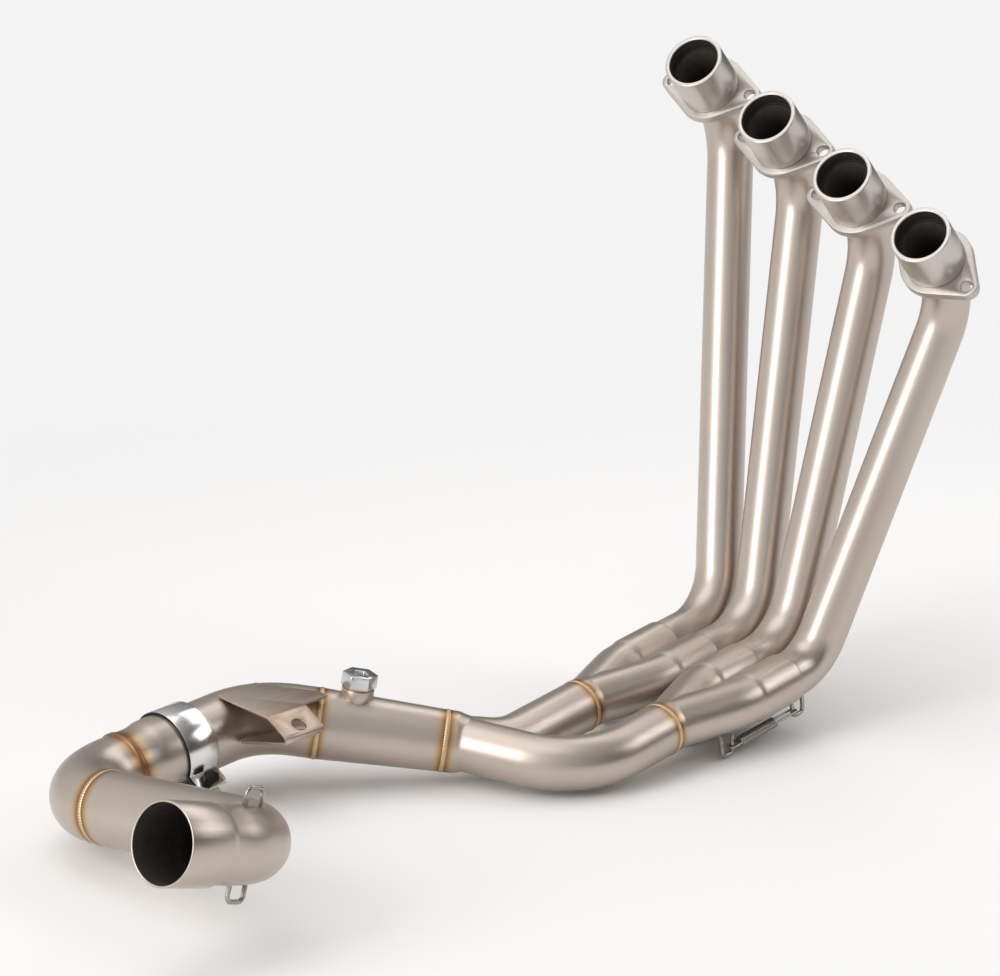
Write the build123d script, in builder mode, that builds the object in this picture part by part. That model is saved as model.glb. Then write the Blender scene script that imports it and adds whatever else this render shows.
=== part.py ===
from build123d import *
import os

os.makedirs("parts", exist_ok=True)

# Four-into-two-into-one exhaust header for an inline four, millimetres, +Z up.
# The origin is on the axis of spigot one, halfway along it. +X runs from cylinder one to four,
# +Y points to the front of the engine and the gas leaves rearward along -Y.

# Ports: the four spigot mouths lie on one straight row
port_pitch = 84.7
row_drop = 21.8
row_yaw = -7.65
port_tilt = 43.6

# Spigots
spigot_r = 22.2
spigot_mouth_r = 18.85
spigot_ledge = 11.0
spigot_length = 37.0
spigot_rim = 0.7

# Loose flanges behind the spigots
flange_gap = 0.3
flange_thickness = 7.0
flange_middle_r = 27.0
flange_bore_play = 0.8
stud_pitch = 67.0
stud_hole_r = 4.4
flange_ear_r = 8.2
ear_turn = [24.0, 24.0, 25.5, -2.0]

# Primary tubes
primary_r = 17.5
wall = 1.2
weld_play = 0.15
top_corner_depth = 83.5
top_bend_r = 50.0
low_bend_r = [58.0, 58.0, 56.0, 38.0]
low_corner_run = [65.0, 62.0, 53.0, 32.0]

# Slip joints: a row of four sockets below and behind spigot one
slip_centre = Vector(116, -108, -409.4)
slip_pitch = 38.3
slip_slope = 7.0
slip_play = 0.2
slip_depth = 40.0
slip_end_gap = 2.0
primary_inset = slip_depth - slip_end_gap
socket_wall = 1.3

# Two-into-one collectors
shoulder = 7.0
shoulder_bury = 0.6
branch_r = 17.9
branch_wall = 1.4
branch_lead = 13.0
branch_turn = slip_depth + branch_lead
branch_bend_r = 60.0
branch_meet = 111.0
throat = 82.0
throat_r = 14.0
collector_length = 116.4
secondary_r = 19.25
exit_land = 6.0

# Second merge: two secondaries into one
left_run = 79.0
right_run = 84.0
left_bend_r = 55.0
right_bend_r = 60.0
merge_exit = slip_centre + Vector(-59, -236, -14)
merge_meet = 8.0
merge_throat = 45.0
merge_throat_r = 12.0
merge_r = 22.0

# Tail: corners of the pipe's middle line from the second merge to the outlet
mid_corner = slip_centre + Vector(-155, -328, 6.5)
link_corner = slip_centre + Vector(-159.5, -505, -7.5)
elbow_corner = slip_centre + Vector(62, -510, 17)
outlet_mouth = slip_centre + Vector(64, -614, 48)
cone_length = 89.4
tail_r = 25.2
tail_wall = 1.5
mid_bend_r = 70.0
link_bend_r = 48.0
elbow_bend_r = 57.0
link_bend_end = 53.0
outlet_r = 26.7
outlet_flare = 6.0
outlet_land = 36.0

# Weld beads: a low ring on the upstream piece that also fills the joint
bead_half = 2.5
bead_top_half = 1.2
bead_height = 1.0

# Clamped slip joint in the tail, stations measured from the middle corner
sleeve_start = 56.4
sleeve_play = 0.2
sleeve_step = 97.0
sleeve_taper = 8.0
sleeve_end = 120.4
mid_pipe_inset = 38.0
slit_width = 1.8
slit_end = 101.0

# Band clamp round the sleeve
clamp_start = 60.0
clamp_width = 24.5
clamp_sheet = 1.8
clamp_play = 0.3
clamp_gap = 10.0
lug_sheet = 2.5
lug_reach = 12.5
lug_turn = 38.0
clamp_bolt_r = 3.0
clamp_bolt_play = 0.2
clamp_bolt_out = 6.8
clamp_hex = 10.0
clamp_head = 4.5
clamp_nut_height = 5.0
clamp_bolt_tail = 4.0

# Sensor bung on top of the transition cone
bung_station = 65.0
bung_r = 11.5
bung_height = 5.5
bung_bore_r = 6.2
plug_r = 6.0
plug_shank = 8.0
plug_hex = 22.0
plug_height = 9.5
plug_socket = 9.0
plug_socket_depth = 5.0
washer_r = 10.2
washer_thickness = 1.5

# Folded hanger bracket: a channel of sheet welded to the side of the middle pipe
bracket_sheet = 2.0
bracket_fold_r = 3.0
bracket_front = -329.0
bracket_width = 36.0
bracket_rear = bracket_front - bracket_width
bracket_top_in = (-151.0, 30.2)
bracket_top_out = (-102.0, 25.0)
bracket_low_out = (-80.0, 11.5)
bracket_low_in = (-129.0, 1.5)
bracket_hole_r = 5.6
bracket_tail = 24.0

# Wire hooks and springs
hook_wire_r = 1.6
hook_reach = 11.0
hook_bend_r = 4.0
outlet_hook_near = 66.0
outlet_hook_span = 14.0
spring_drop = 29.0
spring_r = 4.2
spring_core_r = 3.2
spring_turns = 8
spring_start = 15.0
spring_end = 55.0
spring_wire_r = 0.9
collector_hook_leg = 62.5
primary_hook_leg = 7.0
hook_span = 12.0

# Directions
across = Vector(1, 0, 0)
row = across.rotate(Axis.Y, row_drop).rotate(Axis.Z, row_yaw)
port_dir = Vector(0, -1, 0).rotate(Axis.X, -port_tilt).rotate(Axis.Y, row_drop).rotate(Axis.Z, row_yaw)
flow = Vector(0, -1, 0).rotate(Axis.X, slip_slope)
below = across.cross(flow)
if below.Z > 0:
    below = below * -1
cone_dir = (mid_corner - merge_exit).normalized()
mid_dir = (link_corner - mid_corner).normalized()
cross_dir = (elbow_corner - link_corner).normalized()
outlet_dir = (outlet_mouth - elbow_corner).normalized()

# Points that several pieces share
mouths = [row * (port_pitch * n) + port_dir * (spigot_length / 2) for n in range(4)]
slips = [slip_centre + across * (slip_pitch * (n - 1.5)) for n in range(4)]
collector_axes = [slip_centre - across * slip_pitch, slip_centre + across * slip_pitch]
collector_exits = [start + flow * collector_length for start in collector_axes]
socket_bore_r = primary_r + slip_play
socket_r = socket_bore_r + socket_wall
cone_end = merge_exit + cone_dir * cone_length
sleeve_bore_r = tail_r + sleeve_play
sleeve_r = sleeve_bore_r + tail_wall
sleeve_weld = mid_corner + mid_dir * sleeve_end
link_weld = link_corner + cross_dir * link_bend_end


def square_plane(origin, direction, side):
    """Plane through origin whose Y axis is direction and whose X axis is square to it."""
    flat = (side - direction * side.dot(direction)).normalized()
    return Plane(origin=origin, x_dir=flat, z_dir=flat.cross(direction))


def bead_outline(radius, thickness, station):
    """Corner points of a weld bead's section on a tube, centred on a station."""
    return [
        (radius - thickness, station - bead_half),
        (radius, station - bead_half),
        (radius + bead_height, station - bead_top_half),
        (radius + bead_height, station + bead_top_half),
        (radius, station + bead_half),
        (radius - thickness, station + bead_half),
    ]


# Spigots: turned rings that enter the ports, with a ledge where each tube ends
for n in range(4):
    with BuildPart() as spigot:
        with BuildSketch(square_plane(mouths[n], port_dir, row)):
            with BuildLine():
                Polyline(
                    (spigot_mouth_r + spigot_rim, 0),
                    (spigot_r - spigot_rim, 0),
                    (spigot_r, -spigot_rim),
                    (spigot_r, -spigot_length),
                    (primary_r + weld_play, -spigot_length),
                    (primary_r + weld_play, -spigot_ledge),
                    (spigot_mouth_r, -spigot_ledge),
                    (spigot_mouth_r, -spigot_rim),
                    close=True,
                )
            make_face()
        revolve(axis=Axis(mouths[n], port_dir))
    spigot.part.label = f"spigot_{n + 1}"
    export_step(spigot.part, f"parts/spigot_{n + 1}.step")

# Flanges: two-ear plates that swivel on the tubes behind the spigots
for n in range(4):
    flange_face = mouths[n] - port_dir * (spigot_length + flange_gap)
    ear_dir = row.rotate(Axis(mouths[n], port_dir), ear_turn[n])
    with BuildPart() as flange:
        with BuildSketch(Plane(origin=flange_face, x_dir=ear_dir, z_dir=port_dir)):
            Circle(flange_middle_r)
            with Locations((stud_pitch / 2, 0), (-stud_pitch / 2, 0)):
                Circle(flange_ear_r)
            make_hull()
            Circle(primary_r + flange_bore_play, mode=Mode.SUBTRACT)
            with Locations((stud_pitch / 2, 0), (-stud_pitch / 2, 0)):
                Circle(stud_hole_r, mode=Mode.SUBTRACT)
        extrude(amount=-flange_thickness)
    flange.part.label = f"flange_{n + 1}"
    export_step(flange.part, f"parts/flange_{n + 1}.step")

# Primary tubes: from the ledge in each spigot down and back into a slip socket
for n in range(4):
    tube_start = mouths[n] - port_dir * (spigot_ledge + flange_gap)
    with BuildPart() as primary:
        with BuildLine():
            FilletPolyline(
                tube_start,
                mouths[n] - port_dir * top_corner_depth,
                slips[n] - flow * low_corner_run[n],
                slips[n] + flow * primary_inset,
                radius=[top_bend_r, low_bend_r[n]],
            )
        with BuildSketch(Plane(origin=tube_start, x_dir=row, z_dir=-port_dir)):
            Circle(primary_r)
            Circle(primary_r - wall, mode=Mode.SUBTRACT)
        sweep()
    primary.part.label = f"primary_{n + 1}"
    export_step(primary.part, f"parts/primary_{n + 1}.step")

# Collectors: two swaged sockets whose branches lean together into one round exit
collector_shapes = []
for side in range(2):
    axis_start = collector_axes[side]
    pair = slips[2 * side:2 * side + 2]
    with BuildPart() as collector_shape:
        for slip in pair:
            with BuildSketch(square_plane(slip, flow, across)):
                with BuildLine():
                    Polyline(
                        (0, 0),
                        (socket_r, 0),
                        (socket_r, slip_depth),
                        (branch_r - shoulder_bury, slip_depth + shoulder),
                        (0, slip_depth + shoulder),
                        close=True,
                    )
                make_face()
            revolve(axis=Axis(slip, flow))
            with BuildLine():
                FilletPolyline(
                    slip + flow * slip_depth,
                    slip + flow * branch_turn,
                    axis_start + flow * branch_meet,
                    radius=[branch_bend_r],
                )
            with BuildSketch(Plane(origin=slip + flow * slip_depth, x_dir=across, z_dir=flow)):
                Circle(branch_r)
            sweep()
        with BuildSketch(square_plane(axis_start, flow, across)):
            with BuildLine():
                Polyline(
                    (0, throat),
                    (throat_r, throat),
                    (secondary_r, collector_length - exit_land),
                    (secondary_r, collector_length),
                    (0, collector_length),
                    close=True,
                )
            make_face()
        revolve(axis=Axis(axis_start, flow))
    with BuildPart() as collector_bore:
        for slip in pair:
            with BuildSketch(square_plane(slip, flow, across)):
                with BuildLine():
                    Polyline(
                        (0, -shoulder),
                        (socket_bore_r, -shoulder),
                        (socket_bore_r, slip_depth),
                        (branch_r - branch_wall - shoulder_bury, slip_depth + shoulder),
                        (0, slip_depth + shoulder),
                        close=True,
                    )
                make_face()
            revolve(axis=Axis(slip, flow))
            with BuildLine():
                FilletPolyline(
                    slip + flow * slip_depth,
                    slip + flow * branch_turn,
                    axis_start + flow * branch_meet,
                    radius=[branch_bend_r],
                )
            with BuildSketch(Plane(origin=slip + flow * slip_depth, x_dir=across, z_dir=flow)):
                Circle(branch_r - branch_wall)
            sweep()
        with BuildSketch(square_plane(axis_start, flow, across)):
            with BuildLine():
                Polyline(
                    (0, throat),
                    (throat_r - branch_wall, throat),
                    (secondary_r - branch_wall, collector_length - exit_land),
                    (secondary_r - branch_wall, collector_length + exit_land),
                    (0, collector_length + exit_land),
                    close=True,
                )
            make_face()
        revolve(axis=Axis(axis_start, flow))
    with BuildPart() as collector:
        add(collector_shape.part)
        add(collector_bore.part, mode=Mode.SUBTRACT)
        with BuildSketch(square_plane(axis_start, flow, across)):
            with BuildLine():
                Polyline(*bead_outline(secondary_r, branch_wall, collector_length), close=True)
            make_face()
        revolve(axis=Axis(axis_start, flow))
    collector_shapes.append(collector_shape.part)
    side_name = ["collector_left", "collector_right"][side]
    collector.part.label = side_name
    export_step(collector.part, f"parts/{side_name}.step")

# Second merge: both secondaries bend together into one round exit
merge_runs = [left_run, right_run]
merge_bends = [left_bend_r, right_bend_r]
merge_point = merge_exit - cone_dir * merge_meet
with BuildPart() as merge_shape:
    for side in range(2):
        tube_start = collector_exits[side] + flow * bead_half
        with BuildLine():
            FilletPolyline(
                tube_start,
                collector_exits[side] + flow * merge_runs[side],
                merge_point,
                radius=[merge_bends[side]],
            )
        with BuildSketch(Plane(origin=tube_start, x_dir=across, z_dir=flow)):
            Circle(secondary_r)
        sweep()
    with BuildSketch(square_plane(merge_exit, cone_dir, across)):
        with BuildLine():
            Polyline(
                (0, -merge_throat),
                (merge_throat_r, -merge_throat),
                (merge_r, -merge_meet),
                (merge_r, 0),
                (0, 0),
                close=True,
            )
        make_face()
    revolve(axis=Axis(merge_exit, cone_dir))
with BuildPart() as merge_bore:
    for side in range(2):
        tube_start = collector_exits[side]
        with BuildLine():
            FilletPolyline(
                tube_start,
                collector_exits[side] + flow * merge_runs[side],
                merge_point,
                radius=[merge_bends[side]],
            )
        with BuildSketch(Plane(origin=tube_start, x_dir=across, z_dir=flow)):
            Circle(secondary_r - branch_wall)
        sweep()
    with BuildSketch(square_plane(merge_exit, cone_dir, across)):
        with BuildLine():
            Polyline(
                (0, -merge_throat),
                (merge_throat_r - branch_wall, -merge_throat),
                (merge_r - branch_wall, -merge_meet),
                (merge_r - branch_wall, exit_land),
                (0, exit_land),
                close=True,
            )
        make_face()
    revolve(axis=Axis(merge_exit, cone_dir))
with BuildPart() as secondary_merge:
    add(merge_shape.part)
    add(merge_bore.part, mode=Mode.SUBTRACT)
    with BuildSketch(square_plane(merge_exit, cone_dir, across)):
        with BuildLine():
            Polyline(*bead_outline(merge_r, branch_wall, 0), close=True)
        make_face()
    revolve(axis=Axis(merge_exit, cone_dir))
secondary_merge.part.label = "secondary_merge"
export_step(secondary_merge.part, "parts/secondary_merge.step")

# Sensor boss: its direction is square to the transition cone, as near upright as that allows
bung_foot = merge_exit + cone_dir * bung_station
bung_dir = (Vector(0, 0, 1) - cone_dir * cone_dir.Z).normalized()
bung_rise = merge_r + (tail_r - merge_r) * bung_station / cone_length
bung_top = bung_foot + bung_dir * (bung_rise + bung_height)

# Transition cone between the second merge and the middle pipe
with BuildPart() as cone_shape:
    with BuildSketch(square_plane(merge_exit, cone_dir, across)):
        with BuildLine():
            Polyline(
                (0, bead_half),
                (merge_r, bead_half),
                (tail_r, cone_length),
                (0, cone_length),
                close=True,
            )
        make_face()
    revolve(axis=Axis(merge_exit, cone_dir))
with BuildPart() as transition_cone:
    add(cone_shape.part)
    with BuildSketch(square_plane(merge_exit, cone_dir, across)):
        with BuildLine():
            Polyline(
                (0, bead_half),
                (merge_r - tail_wall, bead_half),
                (tail_r - tail_wall, cone_length),
                (0, cone_length),
                close=True,
            )
        make_face()
    revolve(axis=Axis(merge_exit, cone_dir), mode=Mode.SUBTRACT)
    with BuildSketch(square_plane(merge_exit, cone_dir, across)):
        with BuildLine():
            Polyline(*bead_outline(tail_r, tail_wall, cone_length), close=True)
        make_face()
    revolve(axis=Axis(merge_exit, cone_dir))
    with BuildSketch(Plane(origin=bung_foot, x_dir=cone_dir, z_dir=bung_dir)):
        Circle(bung_bore_r)
    extrude(amount=bung_rise + bung_height, mode=Mode.SUBTRACT)
transition_cone.part.label = "transition_cone"
export_step(transition_cone.part, "parts/transition_cone.step")

with BuildPart() as sensor_bung:
    with BuildSketch(Plane(origin=bung_top, x_dir=cone_dir, z_dir=bung_dir)):
        Circle(bung_r)
    extrude(amount=-(bung_height + bung_r))
    add(cone_shape.part, mode=Mode.SUBTRACT)
    with BuildSketch(Plane(origin=bung_top, x_dir=cone_dir, z_dir=bung_dir)):
        Circle(bung_bore_r)
    extrude(amount=-(bung_height + bung_r), mode=Mode.SUBTRACT)
sensor_bung.part.label = "sensor_bung"
export_step(sensor_bung.part, "parts/sensor_bung.step")

with BuildPart() as sensor_washer:
    with BuildSketch(Plane(origin=bung_top, x_dir=cone_dir, z_dir=bung_dir)):
        Circle(washer_r)
        Circle(bung_bore_r, mode=Mode.SUBTRACT)
    extrude(amount=washer_thickness)
sensor_washer.part.label = "sensor_washer"
export_step(sensor_washer.part, "parts/sensor_washer.step")

plug_seat = bung_top + bung_dir * washer_thickness
with BuildPart() as sensor_plug:
    with BuildSketch(Plane(origin=plug_seat, x_dir=cone_dir, z_dir=bung_dir)):
        RegularPolygon(plug_hex / 2, 6, major_radius=False)
        RegularPolygon(plug_socket / 2, 6, major_radius=False, mode=Mode.SUBTRACT)
    extrude(amount=plug_height)
    with BuildSketch(Plane(origin=plug_seat, x_dir=cone_dir, z_dir=bung_dir)):
        Circle(plug_hex / 2)
    extrude(amount=plug_height - plug_socket_depth)
    with BuildSketch(Plane(origin=plug_seat, x_dir=cone_dir, z_dir=bung_dir)):
        Circle(plug_r)
    extrude(amount=-plug_shank)
sensor_plug.part.label = "sensor_plug"
export_step(sensor_plug.part, "parts/sensor_plug.step")

# Middle pipe: one bend, its end slips into the clamped sleeve
mid_start = cone_end + cone_dir * bead_half
mid_end = mid_corner + mid_dir * (sleeve_start + mid_pipe_inset)
with BuildPart() as mid_shape:
    with BuildLine():
        FilletPolyline(mid_start, mid_corner, mid_end, radius=[mid_bend_r])
    with BuildSketch(Plane(origin=mid_start, x_dir=across, z_dir=cone_dir)):
        Circle(tail_r)
    sweep()
with BuildPart() as mid_pipe:
    with BuildLine():
        FilletPolyline(mid_start, mid_corner, mid_end, radius=[mid_bend_r])
    with BuildSketch(Plane(origin=mid_start, x_dir=across, z_dir=cone_dir)):
        Circle(tail_r)
        Circle(tail_r - tail_wall, mode=Mode.SUBTRACT)
    sweep()
mid_pipe.part.label = "mid_pipe"
export_step(mid_pipe.part, "parts/mid_pipe.step")

# Hanger bracket: the folded section, its tail plate towards the cone and the hanger hole
section_plane = Plane(origin=slip_centre + Vector(0, bracket_rear, 0), x_dir=across, z_dir=(0, -1, 0))
top_in = section_plane.from_local_coords(Vector(*bracket_top_in))
top_out = section_plane.from_local_coords(Vector(*bracket_top_out))
low_out = section_plane.from_local_coords(Vector(*bracket_low_out))
top_slope = (top_out - top_in).normalized()
web_slope = (low_out - top_out).normalized()
web_middle = (top_out + low_out) * 0.5 + Vector(0, bracket_width / 2, 0)
forward = Vector(0, 1, 0)
with BuildPart() as hanger_bracket:
    with BuildSketch(section_plane):
        with BuildLine():
            FilletPolyline(
                bracket_top_in,
                bracket_top_out,
                bracket_low_out,
                bracket_low_in,
                radius=bracket_fold_r,
            )
        trace(line_width=bracket_sheet)
    extrude(amount=-bracket_width)
    with BuildSketch(Plane(origin=top_in, x_dir=top_slope, z_dir=top_slope.cross(forward))):
        with BuildLine():
            Polyline(
                (0, bracket_width - bracket_sheet),
                (top_slope.dot(top_out - top_in) - bracket_fold_r, bracket_width - bracket_sheet),
                (top_slope.dot(top_out - top_in) - bracket_fold_r, bracket_width + bracket_tail),
                (top_slope.dot(top_out - top_in) - bracket_tail / 2, bracket_width + bracket_tail),
                close=True,
            )
        make_face()
    extrude(amount=bracket_sheet / 2, both=True)
    with BuildSketch(Plane(origin=web_middle, x_dir=forward, z_dir=web_slope.cross(forward))):
        Circle(bracket_hole_r)
    extrude(amount=bracket_sheet * 2, both=True, mode=Mode.SUBTRACT)
    add(mid_shape.part, mode=Mode.SUBTRACT)
    add(cone_shape.part, mode=Mode.SUBTRACT)
hanger_bracket.part.label = "hanger_bracket"
export_step(hanger_bracket.part, "parts/hanger_bracket.step")

# Link sleeve: slit at its mouth, stepped down to the tail size behind the clamp
lug_dir = across.rotate(Axis.Y, lug_turn)
with BuildPart() as link_sleeve:
    with BuildSketch(square_plane(mid_corner, mid_dir, across)):
        with BuildLine():
            Polyline(
                (sleeve_bore_r, sleeve_start),
                (sleeve_r, sleeve_start),
                (sleeve_r, sleeve_step),
                (tail_r, sleeve_step + sleeve_taper),
                (tail_r, sleeve_end),
                (tail_r - tail_wall, sleeve_end),
                (tail_r - tail_wall, sleeve_step + sleeve_taper),
                (sleeve_bore_r, sleeve_step),
                close=True,
            )
        make_face()
        with BuildLine():
            Polyline(*bead_outline(tail_r, tail_wall, sleeve_end), close=True)
        make_face()
    revolve(axis=Axis(mid_corner, mid_dir))
    with BuildSketch(square_plane(mid_corner, mid_dir, lug_dir)):
        with BuildLine():
            Polyline(
                (tail_r - tail_wall, sleeve_start - bead_half),
                (sleeve_r + tail_wall, sleeve_start - bead_half),
                (sleeve_r + tail_wall, slit_end),
                (tail_r - tail_wall, slit_end),
                close=True,
            )
        make_face()
    extrude(amount=slit_width / 2, both=True, mode=Mode.SUBTRACT)
link_sleeve.part.label = "link_sleeve"
export_step(link_sleeve.part, "parts/link_sleeve.step")

# Band clamp: an open ring with two lugs, drawn together by one bolt and nut
clamp_bore_r = sleeve_r + clamp_play
clamp_r = clamp_bore_r + clamp_sheet
lug_flat = (lug_dir - mid_dir * lug_dir.dot(mid_dir)).normalized()
clamp_plane = Plane(origin=mid_corner + mid_dir * clamp_start, x_dir=lug_flat, z_dir=mid_dir)
bolt_axis_at = clamp_plane.origin + lug_flat * (clamp_r + clamp_bolt_out) + mid_dir * (clamp_width / 2)
bolt_dir = clamp_plane.y_dir
lug_out = clamp_gap / 2 + lug_sheet
with BuildPart() as clamp_band:
    with BuildSketch(clamp_plane):
        Circle(clamp_r)
        with Locations((clamp_r, clamp_gap / 2 + lug_sheet / 2), (clamp_r, -clamp_gap / 2 - lug_sheet / 2)):
            Rectangle(2 * lug_reach, lug_sheet)
        Circle(clamp_bore_r, mode=Mode.SUBTRACT)
        with Locations((clamp_r, 0)):
            Rectangle(4 * lug_reach, clamp_gap, mode=Mode.SUBTRACT)
    extrude(amount=clamp_width)
    with BuildSketch(Plane(origin=bolt_axis_at, x_dir=mid_dir, z_dir=bolt_dir)):
        Circle(clamp_bolt_r + clamp_bolt_play)
    extrude(amount=2 * lug_out, both=True, mode=Mode.SUBTRACT)
clamp_band.part.label = "clamp_band"
export_step(clamp_band.part, "parts/clamp_band.step")

bolt_end = lug_out + clamp_nut_height + clamp_bolt_tail
with BuildPart() as clamp_bolt:
    with BuildSketch(Plane(origin=bolt_axis_at + bolt_dir * lug_out, x_dir=mid_dir, z_dir=bolt_dir)):
        RegularPolygon(clamp_hex / 2, 6, major_radius=False)
    extrude(amount=clamp_head)
    with BuildSketch(Plane(origin=bolt_axis_at + bolt_dir * lug_out, x_dir=mid_dir, z_dir=bolt_dir)):
        Circle(clamp_bolt_r)
    extrude(amount=-(lug_out + bolt_end))
clamp_bolt.part.label = "clamp_bolt"
export_step(clamp_bolt.part, "parts/clamp_bolt.step")

with BuildPart() as clamp_nut:
    with BuildSketch(Plane(origin=bolt_axis_at - bolt_dir * lug_out, x_dir=mid_dir, z_dir=bolt_dir)):
        RegularPolygon(clamp_hex / 2, 6, major_radius=False)
        Circle(clamp_bolt_r + weld_play, mode=Mode.SUBTRACT)
    extrude(amount=-clamp_nut_height)
clamp_nut.part.label = "clamp_nut"
export_step(clamp_nut.part, "parts/clamp_nut.step")

# Link bend from the sleeve to the cross tube
link_start = sleeve_weld + mid_dir * bead_half
with BuildPart() as link_bend:
    with BuildLine():
        FilletPolyline(link_start, link_corner, link_weld - cross_dir * bead_half, radius=[link_bend_r])
    with BuildSketch(Plane(origin=link_start, x_dir=across, z_dir=mid_dir)):
        Circle(tail_r)
        Circle(tail_r - tail_wall, mode=Mode.SUBTRACT)
    sweep()
    with BuildSketch(square_plane(link_weld, cross_dir, flow)):
        with BuildLine():
            Polyline(*bead_outline(tail_r, tail_wall, 0), close=True)
        make_face()
    revolve(axis=Axis(link_weld, cross_dir))
link_bend.part.label = "link_bend"
export_step(link_bend.part, "parts/link_bend.step")

# Outlet elbow: cross tube, bend and an expanded end for the silencer
elbow_start = link_weld + cross_dir * bead_half
flare_start = outlet_mouth - outlet_dir * (outlet_land + outlet_flare)
with BuildPart() as elbow_shape:
    with BuildLine():
        FilletPolyline(elbow_start, elbow_corner, flare_start, radius=[elbow_bend_r])
    with BuildSketch(Plane(origin=elbow_start, x_dir=flow, z_dir=cross_dir)):
        Circle(tail_r)
    sweep()
with BuildPart() as outlet_elbow:
    with BuildLine():
        FilletPolyline(elbow_start, elbow_corner, flare_start, radius=[elbow_bend_r])
    with BuildSketch(Plane(origin=elbow_start, x_dir=flow, z_dir=cross_dir)):
        Circle(tail_r)
        Circle(tail_r - tail_wall, mode=Mode.SUBTRACT)
    sweep()
    with BuildSketch(square_plane(outlet_mouth, outlet_dir, across)):
        with BuildLine():
            Polyline(
                (tail_r - tail_wall, -outlet_land - outlet_flare),
                (tail_r, -outlet_land - outlet_flare),
                (outlet_r, -outlet_land),
                (outlet_r, 0),
                (outlet_r - tail_wall, 0),
                (outlet_r - tail_wall, -outlet_land),
                close=True,
            )
        make_face()
    revolve(axis=Axis(outlet_mouth, outlet_dir))
outlet_elbow.part.label = "outlet_elbow"
export_step(outlet_elbow.part, "parts/outlet_elbow.step")

# Outlet hooks: two bent wires, above and below the elbow, for the silencer's springs
outlet_up = across.cross(outlet_dir).normalized()
if outlet_up.Z < 0:
    outlet_up = outlet_up * -1
hook_near = outlet_mouth - outlet_dir * outlet_hook_near
hook_far = hook_near - outlet_dir * outlet_hook_span
with BuildPart() as outlet_hooks:
    for way in (outlet_up, -outlet_up):
        with BuildLine():
            FilletPolyline(
                hook_near + way * (tail_r - hook_bend_r),
                hook_near + way * (tail_r + hook_reach),
                hook_far + way * (tail_r + hook_reach),
                hook_far + way * (tail_r - hook_bend_r),
                radius=hook_bend_r,
            )
        with BuildSketch(Plane(origin=hook_near + way * (tail_r - hook_bend_r), x_dir=across, z_dir=way)):
            Circle(hook_wire_r)
        sweep()
    add(elbow_shape.part, mode=Mode.SUBTRACT)
outlet_hooks.part.label = "outlet_hooks"
export_step(outlet_hooks.part, "parts/outlet_hooks.step")

# Spring hooks under the slip joints: one wire loop on each branch and one on each primary
hook_low = spring_drop + hook_wire_r + spring_wire_r
with BuildPart() as collector_hooks:
    for slip in slips:
        near_leg = slip + flow * collector_hook_leg
        far_leg = slip + flow * (collector_hook_leg + hook_span)
        with BuildLine():
            FilletPolyline(
                near_leg + below * (branch_r - 2 * hook_bend_r),
                near_leg + below * (hook_low + hook_bend_r / 2),
                far_leg + below * (hook_low + hook_bend_r / 2),
                far_leg + below * (branch_r - 2 * hook_bend_r),
                radius=hook_bend_r,
            )
        wire_start = near_leg + below * (branch_r - 2 * hook_bend_r)
        with BuildSketch(Plane(origin=wire_start, x_dir=across, z_dir=below)):
            Circle(hook_wire_r)
        sweep()
    for shape in collector_shapes:
        add(shape, mode=Mode.SUBTRACT)
collector_hooks.part.label = "collector_hooks"
export_step(collector_hooks.part, "parts/collector_hooks.step")

with BuildPart() as primary_hooks:
    for slip in slips:
        near_leg = slip - flow * primary_hook_leg
        far_leg = slip - flow * (primary_hook_leg + hook_span)
        with BuildLine():
            FilletPolyline(
                near_leg + below * (primary_r + weld_play),
                near_leg + below * (hook_low + hook_bend_r / 2),
                far_leg + below * (hook_low + hook_bend_r / 2),
                far_leg + below * (primary_r + weld_play),
                radius=hook_bend_r,
            )
        wire_start = near_leg + below * (primary_r + weld_play)
        with BuildSketch(Plane(origin=wire_start, x_dir=across, z_dir=below)):
            Circle(hook_wire_r)
        sweep()
primary_hooks.part.label = "primary_hooks"
export_step(primary_hooks.part, "parts/primary_hooks.step")

# Springs: a close coil with a flat wire eye at each end that passes round a hook's leg
coil_step = (spring_end - spring_start) / spring_turns
coil_ridges = []
for turn in range(spring_turns):
    coil_ridges.append((spring_core_r, spring_start + coil_step * turn))
    coil_ridges.append((spring_r, spring_start + coil_step * (turn + 0.5)))
coil_ridges.append((spring_core_r, spring_end))
with BuildPart() as slip_springs:
    for slip in slips:
        spring_foot = slip + below * spring_drop
        with BuildSketch(square_plane(spring_foot, flow, across)):
            with BuildLine():
                Polyline((0, spring_start), *coil_ridges, (0, spring_end), close=True)
            make_face()
        revolve(axis=Axis(spring_foot, flow))
        eye_side = hook_wire_r + 2 * spring_wire_r
        eye_near = -primary_hook_leg - hook_wire_r - 2 * spring_wire_r
        eye_far = collector_hook_leg + hook_wire_r + 2 * spring_wire_r
        with BuildSketch(Plane(origin=spring_foot, x_dir=flow, z_dir=below)):
            with BuildLine():
                Polyline(
                    (spring_start + spring_wire_r, eye_side),
                    (eye_near, eye_side),
                    (eye_near, -eye_side),
                    (spring_start + spring_wire_r, -eye_side),
                )
            trace(line_width=2 * spring_wire_r)
            with BuildLine():
                Polyline(
                    (spring_end - spring_wire_r, eye_side),
                    (eye_far, eye_side),
                    (eye_far, -eye_side),
                    (spring_end - spring_wire_r, -eye_side),
                )
            trace(line_width=2 * spring_wire_r)
        extrude(amount=spring_wire_r, both=True)
slip_springs.part.label = "slip_springs"
export_step(slip_springs.part, "parts/slip_springs.step")
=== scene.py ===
"""Looks for a four-into-two-into-one motorcycle exhaust header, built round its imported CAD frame."""

import logging
import math
from dataclasses import dataclass
from enum import Enum
from typing import Callable, Mapping, Optional, Sequence, Union

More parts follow.
